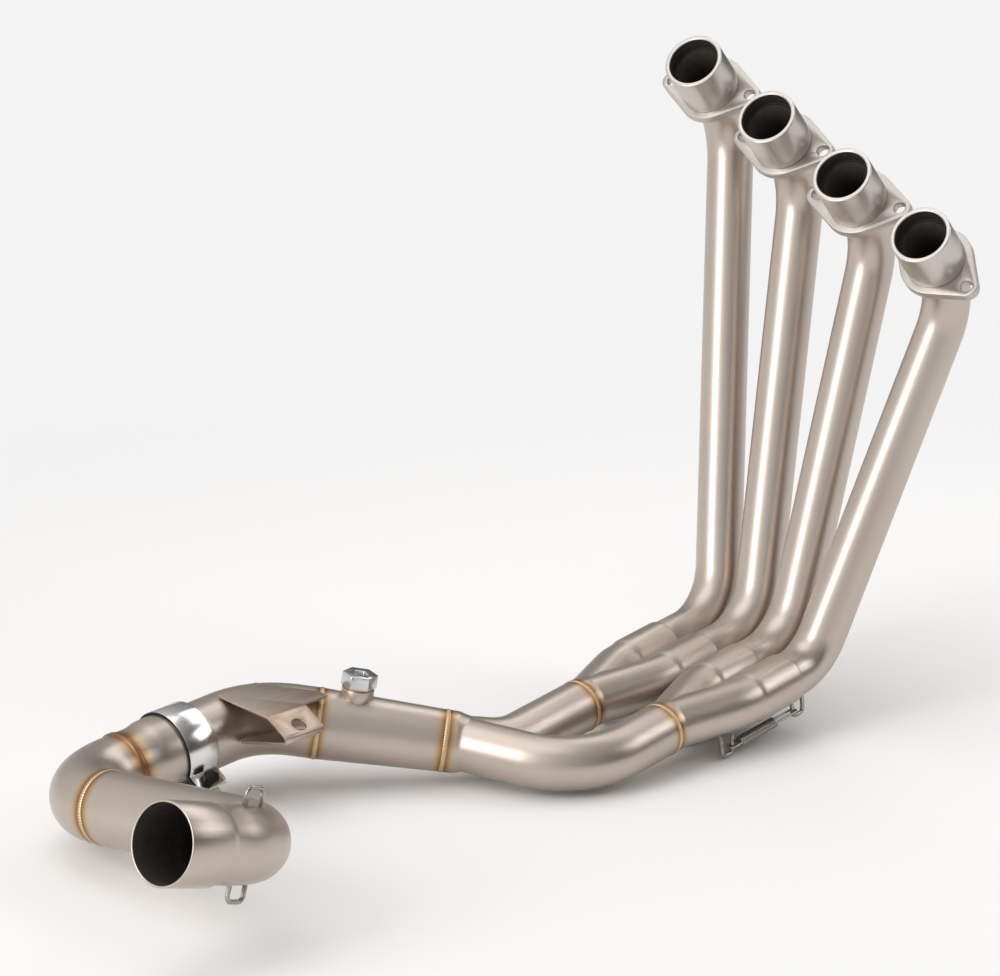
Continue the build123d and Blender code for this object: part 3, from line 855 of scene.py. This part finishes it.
@dataclass
class Collector:
    """Two swaged sockets whose branches are formed into one round exit."""

    side: int
    socket: float = 19.0
    depth: float = 40.0
    lip: Pair = (0.5, 0.6)
    swage: tuple[float, float, float, float] = (-1.0, 0.8, 4.6, 6.0)
    swage_round: float = 0.3
    swage_foot: float = 0.4
    branch: float = 17.9
    turn: float = 53.0
    bend: float = 60.0
    meet: float = 111.0
    throat: Pair = (82.0, 14.0)
    land: float = 6.0
    socket_sides: int = 72
    branch_sides: int = 64

    def socket_profile(self) -> Profile:
        """Section of one socket from its mouth to the end of its swage.

        Returns:
            Radius and station of each corner.
        """
        first, second, third, end = (self.depth + step for step in self.swage)
        return [
            (0.0, 0.0),
            (self.socket - self.lip[0], 0.0),
            (self.socket, self.lip[1]),
            (self.socket, first),
            (self.socket - self.swage_round, second),
            (self.branch - self.swage_foot, third),
            (0.0, end),
        ]

    def build(self) -> None:
        """Makes the formed skin and rides it on the header."""
        name = ("collector_left", "collector_right")[self.side]
        weld = ("left_exit", "right_exit")[self.side]
        start, flow = LAYOUT.axes[self.side], LAYOUT.flow
        mesh = bmesh.new()
        for slip in LAYOUT.slips[2 * self.side:2 * self.side + 2]:
            lathed(mesh, slip, flow, self.socket_profile(), self.socket_sides)
            corners = [slip + flow * self.depth, slip + flow * self.turn, start + flow * self.meet]
            route = fillet_route(corners, (self.bend,))
            swept(mesh, route, self.branch, self.branch_sides, LAYOUT.across)
        length = LAYOUT.collector_length
        section = bell(self.throat, LAYOUT.branch_radius, length - self.land, length + SEAM)
        lathed(mesh, start, flow, section, self.socket_sides)
        formed(mesh, name, steel(name + "_steel", weld, streak=Streak.OBJECT))


@dataclass
class SecondMerge:
    """Two secondary tubes bent together and formed into one round exit."""

    bends: Pair = (55.0, 60.0)
    meet: float = 8.0
    throat: Pair = (-45.0, 12.0)
    tube_sides: int = 72
    bell_sides: int = 80

    def build(self) -> None:
        """Makes the formed skin and rides it on the header."""
        flow, axis = LAYOUT.flow, LAYOUT.cone_dir
        point = LAYOUT.merge - axis * self.meet
        mesh = bmesh.new()
        for first, run, bend in zip(LAYOUT.exits, (LAYOUT.left_run, LAYOUT.right_run), self.bends):
            route = fillet_route([first + flow * SEAM, first + flow * run, point], (bend,))
            swept(mesh, route, LAYOUT.branch_radius, self.tube_sides, LAYOUT.across)
        section = bell(self.throat, LAYOUT.merge_radius, -self.meet, SEAM)
        lathed(mesh, LAYOUT.merge, axis, section, self.bell_sides)
        metal = steel("secondary_steel", "left_exit", "right_exit", "merge", streak=Streak.OBJECT)
        formed(mesh, "secondary_merge", metal)


@dataclass
class Tail:
    """Transition cone, middle pipe, slit sleeve, link bend and outlet elbow."""

    radius: float = LAYOUT.tail_radius
    wall: float = 1.5
    sides: int = 96
    cone_bands: int = 24
    mid_bend: float = 70.0
    mid_run: float = 94.0
    sleeve_edge: float = 0.3
    sleeve_crease: float = 30.0
    link_bend: float = 48.0
    link_past: float = 0.3
    elbow_bend: float = 57.0
    outlet_radius: float = 26.7
    outlet_land: float = 36.0
    outlet_flare: float = 6.0
    outlet_bright: int = 2
    outlet_crease: float = 50.0
    flare_steps: Pair = (4.4, 1.4)
    flare_round: float = 0.3
    lip: float = 0.5
    lip_back: float = 0.15
    lip_round: float = 0.2
    tip: float = 0.1

    def tube(self, node: str, corners: Route, bend: float, *welds: str) -> None:
        """Makes one plain bent tube.

        Args:
            node: CAD node that it stands for.
            corners: Start, corner and end, in millimetres.
            bend: Bend radius at the corner.
            welds: Names of the welds that tint it.
        """
        name = node + "_tube"
        mesh = bmesh.new()
        swept(mesh, fillet_route(corners, (bend,)), self.radius, self.sides, LAYOUT.across)
        settle(piece_from(mesh, name, steel(name + "_steel", *welds)), ROOT_BODY, "tube", node)

    def cone(self) -> None:
        """Makes the transition cone."""
        run, growth = LAYOUT.cone_length - 2 * SEAM, self.radius - LAYOUT.merge_radius
        parts = [k / self.cone_bands for k in range(self.cone_bands + 1)]
        taper = [(LAYOUT.merge_radius + growth * part, SEAM + run * part) for part in parts]
        profile = [(0.0, SEAM), *taper, (0.0, LAYOUT.cone_length - SEAM)]
        mesh = bmesh.new()
        lathed(mesh, LAYOUT.merge, LAYOUT.cone_dir, profile, self.sides)
        bmesh.ops.remove_doubles(mesh, verts=mesh.verts, dist=SAME_SPOT)
        metal = steel("cone_steel", "merge", "cone")
        skin = piece_from(mesh, "transition_cone_skin", metal)
        settle(skin, ROOT_BODY, "tube", "transition_cone")

    def outlet(self) -> None:
        """Makes the cross tube, elbow and open outlet with its sooty bore."""
        out, axis = LAYOUT.mouth_out, LAYOUT.outlet_dir
        edge, land, wall = self.outlet_radius, -self.outlet_land, self.wall
        start = LAYOUT.link_weld + LAYOUT.cross_dir * SEAM
        flare = out - axis * (self.outlet_land + self.outlet_flare)
        route = fillet_route([start, LAYOUT.elbow, flare], (self.elbow_bend,))
        stations = [(point, self.radius, self.radius - wall) for point in thinned(route)]
        steps = (
            (land - self.flare_steps[0], self.radius + self.flare_round),
            (land - self.flare_steps[1], edge - self.flare_round),
            (land, edge),
            (-self.lip, edge),
        )
        stations += [(out + axis * place, radius, radius - wall) for place, radius in steps]
        back = out - axis * self.lip_back
        stations.append((back, edge - self.lip_round, edge - wall + self.lip_round))
        stations.append((out, edge - wall / 2 + self.tip, edge - wall / 2 - self.tip))
        mesh = bmesh.new()
        piped(mesh, stations, self.sides, LAYOUT.flow, self.outlet_bright)
        metal = steel("outlet_steel", "link")
        elbow = piece_from(mesh, "outlet_elbow_tube", metal, SOOT, crease=self.outlet_crease)
        settle(elbow, ROOT_BODY, "tube", "outlet_elbow")

    def build(self) -> None:
        """Makes every piece of the tail and rides it on the header."""
        self.cone()
        ahead = LAYOUT.cone_end + LAYOUT.cone_dir * SEAM
        corners = [ahead, LAYOUT.mid, LAYOUT.mid + LAYOUT.mid_dir * self.mid_run]
        self.tube("mid_pipe", corners, self.mid_bend, "cone")
        metal = steel("sleeve_steel", "sleeve", streak=Streak.OBJECT)
        sleeve = cad_copy("link_sleeve", metal, self.sleeve_edge, self.sleeve_crease)
        settle(sleeve, ROOT_BODY, "tube", "link_sleeve")
        start = LAYOUT.sleeve_weld + LAYOUT.mid_dir * SEAM
        corners = [start, LAYOUT.link, LAYOUT.link_weld + LAYOUT.cross_dir * self.link_past]
        self.tube("link_bend", corners, self.link_bend, "sleeve", "link")
        self.outlet()


class GrownTree:
    """Geometry Nodes tree that grows a coated mesh from nothing.

    Attributes:
        tree: The tree.
        keys: Identifier of each input by its name.
        given: Sockets of the inputs by name.
    """

    def __init__(self, name: str, **kinds: str) -> None:
        """Starts the tree with its output and its inputs.

        Args:
            name: Name of the tree.
            kinds: Kind of each input by its name, besides the finish.
        """
        self.tree = bpy.data.node_groups.new(name, "GeometryNodeTree")
        face = self.tree.interface
        face.new_socket("Geometry", in_out="OUTPUT", socket_type="NodeSocketGeometry")
        self.keys: dict[str, str] = {}
        for label, kind in {**kinds, "finish": "Material"}.items():
            made = face.new_socket(label, in_out="INPUT", socket_type="NodeSocket" + kind)
            self.keys[label] = made.identifier
        self.given = linked(self.tree, "NodeGroupInput").outputs

    def node(self, kind: str, inputs: Inputs, **values: object) -> Mapping[str, Socket]:
        """Adds a geometry node and returns its outputs."""
        return linked(self.tree, "GeometryNode" + kind, inputs, **values).outputs

    def coat(self, shape: Socket) -> None:
        """Ends the tree with the shape as a plain mesh in its finish."""
        whole = self.node("RealizeInstances", {"Geometry": shape})["Geometry"]
        coated = self.node("SetMaterial", {"Geometry": whole, "Material": self.given["finish"]})
        linked(self.tree, "NodeGroupOutput", {"Geometry": coated["Geometry"]})

    def grow(self, mesh: BMesh, origin: Point, axis: Point, **values: object) -> None:
        """Grows the shape about an axis, as a plain mesh.

        Args:
            mesh: The mesh that gets the shape, in metres.
            origin: Where the shape's own origin comes, in metres.
            axis: Direction that its Z axis takes.
            values: Inputs of the tree by name.
        """
        blank = placed("blank", bpy.data.meshes.new("blank"))
        maker = blank.modifiers.new("maker", "NODES")
        maker.node_group = self.tree
        for label, value in values.items():
            maker[self.keys[label]] = value
        graph = bpy.context.evaluated_depsgraph_get()
        made = bpy.data.meshes.new_from_object(blank.evaluated_get(graph), depsgraph=graph)
        blank.modifiers.clear()
        bpy.data.objects.remove(blank)
        turn = Vector((0, 0, 1)).rotation_difference(axis).to_matrix().to_4x4()
        made.transform(Matrix.Translation(origin) @ turn)
        mesh.from_mesh(made)
        bpy.data.meshes.remove(made)


class RingTree(GrownTree):
    """Lays overlapping weld pools round a ring."""

    def __init__(self) -> None:
        """Builds the tree with named inputs for its sizes."""
        super().__init__("weld_ring", radius="Float", count="Int", size="Float")
        given = self.given
        ring = self.node("CurvePrimitiveCircle", {"Resolution": given["count"], "Radius": given["radius"]})
        spots = self.node("CurveToPoints", {"Curve": ring["Curve"]}, mode="EVALUATED")
        pool = self.node("MeshUVSphere", {"Segments": 14, "Rings": 8, "Radius": given["size"]})
        smooth = self.node("SetShadeSmooth", {"Geometry": pool["Mesh"]})
        spread = {
            "Points": spots["Points"],
            "Instance": smooth["Geometry"],
            "Rotation": spots["Rotation"],
            "Scale": (0.55, 1.0, 0.8),
        }
        self.coat(self.node("InstanceOnPoints", spread)["Instances"])


class CoilTree(GrownTree):
    """Winds a wire into a close coil."""

    def __init__(self) -> None:
        """Builds the tree with named inputs for its sizes."""
        super().__init__("spring_coil", turns="Float", radius="Float", length="Float", wire="Float")
        given = self.given
        winding = {
            "Resolution": 20,
            "Rotations": given["turns"],
            "Start Radius": given["radius"],
            "End Radius": given["radius"],
            "Height": given["length"],
        }
        coil = self.node("CurveSpiral", winding)["Curve"]
        section = self.node("CurvePrimitiveCircle", {"Resolution": 8, "Radius": given["wire"]})["Curve"]
        wound = self.node("CurveToMesh", {"Curve": coil, "Profile Curve": section, "Fill Caps": True})
        self.coat(self.node("SetShadeSmooth", {"Geometry": wound["Mesh"]})["Geometry"])


@dataclass
class WeldRings:
    """Rippled beads on every welded joint of the header."""

    pool: float = 2.2
    spacing: float = 1.9
    sink: float = 0.75

    def build(self) -> None:
        """Makes one piece with all the rings and rides it on the header."""
        ring = RingTree()
        mesh = bmesh.new()
        for weld in WELDS.values():
            radius = weld.radius - self.sink * MM
            count = int(math.tau * radius / (self.spacing * MM))
            sizes = {"radius": radius, "count": count, "size": self.pool * MM}
            ring.grow(mesh, weld.centre, weld.axis, finish=BEAD, **sizes)
        settle(piece_from(mesh, "weld_rings", BEAD, crease=None), ROOT_BODY, "tube")


@dataclass
class SlipSprings:
    """Coil springs with wire eyes under the slip joints, and the wire loops that hold them."""

    drop: float = 29.0
    start: float = 15.0
    end: float = 55.0
    coil: float = 3.3
    wire: float = 0.9
    wire_sides: int = 10
    turns: float = 19.0
    eye_half: float = 2.8
    eye_bend: float = 2.55
    eye_step: float = 0.5
    eye_lap: float = 1.0
    near: float = -10.0
    far: float = 65.5
    crease: float = 50.0

    def eye_route(self, foot: Point, first: float, last: float) -> list[Point]:
        """Middle line of one end eye, in millimetres.

        Args:
            foot: Point of the spring's axis at station 0.
            first: Station where the eye leaves the coil.
            last: Station of the eye's far end.

        Returns:
            Points out along one side, round the end and back.
        """
        side = LAYOUT.across * self.eye_half
        root, tip = foot + LAYOUT.flow * first, foot + LAYOUT.flow * last
        corners = [root + side, tip + side, tip - side, root - side]
        return fillet_route(corners, (self.eye_bend, self.eye_bend), self.eye_step)

    def build(self) -> None:
        """Makes the springs and the hooks and rides them on the header."""
        winder = CoilTree()
        length = (self.end - self.start) * MM
        sizes = {"turns": self.turns, "radius": self.coil * MM, "length": length, "wire": self.wire * MM}
        eyes = ((self.start + self.eye_lap, self.near), (self.end - self.eye_lap, self.far))
        mesh = bmesh.new()
        for slip in LAYOUT.slips:
            foot = slip + LAYOUT.below * self.drop
            origin = (foot + LAYOUT.flow * self.start) * MM
            winder.grow(mesh, origin, LAYOUT.flow, finish=WIRE, **sizes)
            for first, last in eyes:
                route = self.eye_route(foot, first, last)
                swept(mesh, route, self.wire, self.wire_sides, LAYOUT.below)
        springs = piece_from(mesh, "slip_spring_coils", WIRE, crease=self.crease)
        settle(springs, ROOT_BODY, "wire", "slip_springs")
        for node in ("collector_hooks", "primary_hooks", "outlet_hooks"):
            settle(cad_copy(node, WIRE), ROOT_BODY, "wire", node)


@dataclass
class Fittings:
    """Sensor boss and plug, hanger bracket and band clamp, with their softened edges in millimetres."""

    boss_edge: float = 0.4
    washer_edge: float = 0.2
    plug_edge: float = 0.6
    bracket_edge: float = 0.5
    band_edge: float = 0.35
    bolt_edge: float = 0.4
    # faces of the clamp band turned further than this towards the flow get the black as painted shade
    painted_shade_facing: float = 0.9
    seam_inset: float = 0.028
    seam_axis: Triple = (0.55, 0.1, 0.83)
    seam_radius: float = 0.03
    seam_reach: float = 0.016

    def sheet(self) -> Material:
        """The bracket's sheet metal, lightly tinted where it is welded to the pipe."""
        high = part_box("hanger_bracket")[1]
        centre = Vector((high.x - self.seam_inset, high.y, high.z))
        seam = Weld(centre, Vector(self.seam_axis), self.seam_radius, self.seam_reach)
        colour, worn = (0.60, 0.51, 0.445), (0.54, 0.44, 0.37)
        return Steel("hanger_sheet", colour, worn, 0.4, 0.05, welds=(seam,), tint=0.3).make()

    def clamp(self) -> None:
        """Makes the polished band with painted shade on its rear edge, and the bolt and nut."""
        band = cad_copy("clamp_band", POLISHED, self.band_edge)
        band.data.materials.append(BLACK_OXIDE_AND_PAINTED_SHADE)
        # The band's faces that turn towards the flow take the black: painted shade on its rear edge
        for face in band.data.polygons:
            if face.normal.dot(LAYOUT.mid_dir) > self.painted_shade_facing:
                face.material_index = 1
        settle(band, ROOT_BODY, "clamp", "clamp_band")
        for node in ("clamp_bolt", "clamp_nut"):
            settle(cad_copy(node, BLACK_OXIDE_AND_PAINTED_SHADE, self.bolt_edge), ROOT_BODY, "dark_bolt", node)

    def build(self) -> None:
        """Makes the small fittings and rides them on the header."""
        pieces = (
            ("sensor_bung", "boss", steel("boss_steel", "cone", streak=Streak.OBJECT), self.boss_edge),
            ("sensor_washer", "copper", COPPER, self.washer_edge),
            ("sensor_plug", "zinc", ZINC, self.plug_edge),
            ("hanger_bracket", "sheet", self.sheet(), self.bracket_edge),
        )
        for node, slot, metal, edge in pieces:
            settle(cad_copy(node, metal, edge), ROOT_BODY, slot, node)
        self.clamp()


@dataclass(frozen=True)
class Softbox:
    """A soft rectangular light, placed from the point that it faces.

    Attributes:
        name: Name of the light.
        right: How far to the right as the camera sees it, in metres.
        front: How far towards the camera over the floor, in metres.
        offset: What is added to that in the row frame, in metres.
        size: Width and height, in metres.
        power: Power in watts.
    """

    name: str
    right: float
    front: float
    offset: Triple
    size: Pair
    power: float


SOFTBOXES = (
    Softbox("softbox_left", -1.9, 1.5, (0.0, 0.0, 1.0), (1.1, 2.2), 30.0),
    Softbox("softbox_top", -0.5, 0.0, (0.0, 0.0, 2.2), (2.4, 1.6), 11.0),
    Softbox("softbox_rear", 0.0, 0.0, (-0.2, 1.6, 1.7), (1.8, 1.2), 12.0),
    Softbox("softbox_right", 0.0, 0.0, (1.3, 1.6, 1.15), (1.5, 1.0), 11.0),
)


@dataclass
class Studio:
    """Pale floor, soft lights and the camera of the photograph."""

    eye: Triple = (1611.2, -2005.7, 844.9)
    azimuth: float = 42.42
    elevation: float = 15.51
    lens: float = 132.2
    sensor: float = 36.0
    farthest: float = 100.0
    aim: Triple = (0.0, -200.0, 100.0)
    floor_colour: Colour = (0.93, 0.925, 0.92)
    floor_rough: float = 0.9
    floor_shine: float = 0.1
    floor_half: float = 30.0
    floor_gap: float = 0.001
    far_colour: Colour = (0.905, 0.90, 0.90)
    middle: Pair = (0.1, -0.35)
    fade: Pair = (0.5, 1.3)
    sky_colour: Colour = (1.0, 0.985, 0.975)
    sky_front: float = 0.3
    sky_left: float = 0.85
    sky_up: float = 0.4
    sky_span: Pair = (-0.6, 0.8)
    sky_strength: Pair = (0.05, 0.80)

    def __post_init__(self) -> None:
        """Works out the directions of the camera."""
        turn, rise = math.radians(self.azimuth), math.radians(self.elevation)
        self.base = Vector(LAYOUT.slip_centre)
        self.right = Vector((math.cos(turn), math.sin(turn), 0))
        self.front = Vector((math.sin(turn), -math.cos(turn), 0))
        self.back = self.front * math.cos(rise) + Vector((0, 0, math.sin(rise)))

    def ground(self, low: float) -> Material:
        """The floor's matt white, which fades to an even glow away from the header.

        Args:
            low: Height of the floor, in metres.

        Returns:
            The finished material.
        """
        material, tree, shader = shader_of("studio_floor")
        matt = {"Roughness": self.floor_rough, "Specular IOR Level": self.floor_shine}
        fill(tree, shader, {"Base Color": (*self.floor_colour, 1.0), **matt})
        place = linked(tree, "ShaderNodeTexCoord").outputs["Object"]
        away = vector_maths(tree, "DISTANCE", place, (*self.middle, low))
        fade = ranged(tree, away, self.fade, curve="SMOOTHSTEP")
        rays = linked(tree, "ShaderNodeLightPath").outputs
        seen = rays["Is Camera Ray"]
        for kind in ("Is Glossy Ray", "Is Transmission Ray"):
            seen = maths(tree, "MAXIMUM", seen, rays[kind])
        part = maths(tree, "MULTIPLY", fade, seen)
        glow = linked(tree, "ShaderNodeEmission", {"Color": (*self.far_colour, 1.0)}).outputs["Emission"]
        mix = linked(tree, "ShaderNodeMixShader", {"Fac": part, 1: shader.outputs["BSDF"], 2: glow})
        fill(tree, tree.nodes["Material Output"], {"Surface": mix.outputs["Shader"]})
        return material

    def floor(self) -> None:
        """Makes the wide pale floor under the header."""
        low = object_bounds()[0].z - self.floor_gap
        mesh = bmesh.new()
        bmesh.ops.create_grid(mesh, x_segments=1, y_segments=1, size=self.floor_half)
        bmesh.ops.translate(mesh, verts=mesh.verts, vec=(0, 0, low))
        data = bpy.data.meshes.new("studio_floor")
        mesh.to_mesh(data)
        mesh.free()
        data.materials.append(self.ground(low))
        ground = placed("studio_floor", data)
        ground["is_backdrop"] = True

    def lights(self) -> None:
        """Adds the softboxes, all facing one point of the header."""
        aim = (self.base + Vector(self.aim)) * MM
        for box in SOFTBOXES:
            data = bpy.data.lights.new(box.name, "AREA")
            data.shape = "RECTANGLE"
            data.size, data.size_y = box.size
            data.energy = box.power
            place = aim + self.right * box.right + self.front * box.front + Vector(box.offset)
            lamp = placed(box.name, data)
            lamp.location = place
            lamp.rotation_euler = (aim - place).to_track_quat("-Z", "Y").to_euler()

    def sky(self) -> None:
        """Makes the world, brighter towards the left and the camera."""
        world = bpy.data.worlds.new("studio")
        world.use_nodes = True
        tree = world.node_tree
        bright = self.front * self.sky_front - self.right * self.sky_left + Vector((0, 0, self.sky_up))
        place = linked(tree, "ShaderNodeTexCoord").outputs["Generated"]
        lean = vector_maths(tree, "DOT_PRODUCT", place, bright.normalized())
        strength = ranged(tree, lean, self.sky_span, self.sky_strength, "SMOOTHSTEP")
        fill(tree, tree.nodes["Background"], {"Strength": strength, "Color": (*self.sky_colour, 1.0)})
        bpy.context.scene.world = world

    def camera(self) -> None:
        """Places the camera of the photograph."""
        data = bpy.data.cameras.new("camera")
        data.lens = self.lens
        data.sensor_width = self.sensor
        data.clip_end = self.farthest
        camera = placed("camera", data)
        place = (self.base + Vector(self.eye)) * MM
        axes = Matrix((self.right, self.back.cross(self.right), self.back)).transposed().to_4x4()
        camera.matrix_world = Matrix.Translation(place) @ axes
        bpy.context.scene.camera = camera

    def build(self) -> None:
        """Makes the floor, the lights, the world and the camera."""
        bpy.context.scene.view_settings.view_transform = "Standard"
        self.floor()
        self.lights()
        self.sky()
        self.camera()


def main() -> None:
    logging.basicConfig(level=logging.INFO, format="%(message)s")
    for index in range(4):
        PortEnd(index).build()
        PrimaryTube(index).build()
    for side in range(2):
        Collector(side).build()
    SecondMerge().build()
    Tail().build()
    WeldRings().build()
    SlipSprings().build()
    Fittings().build()
    Studio().build()


if __name__ == "__main__":
    main()
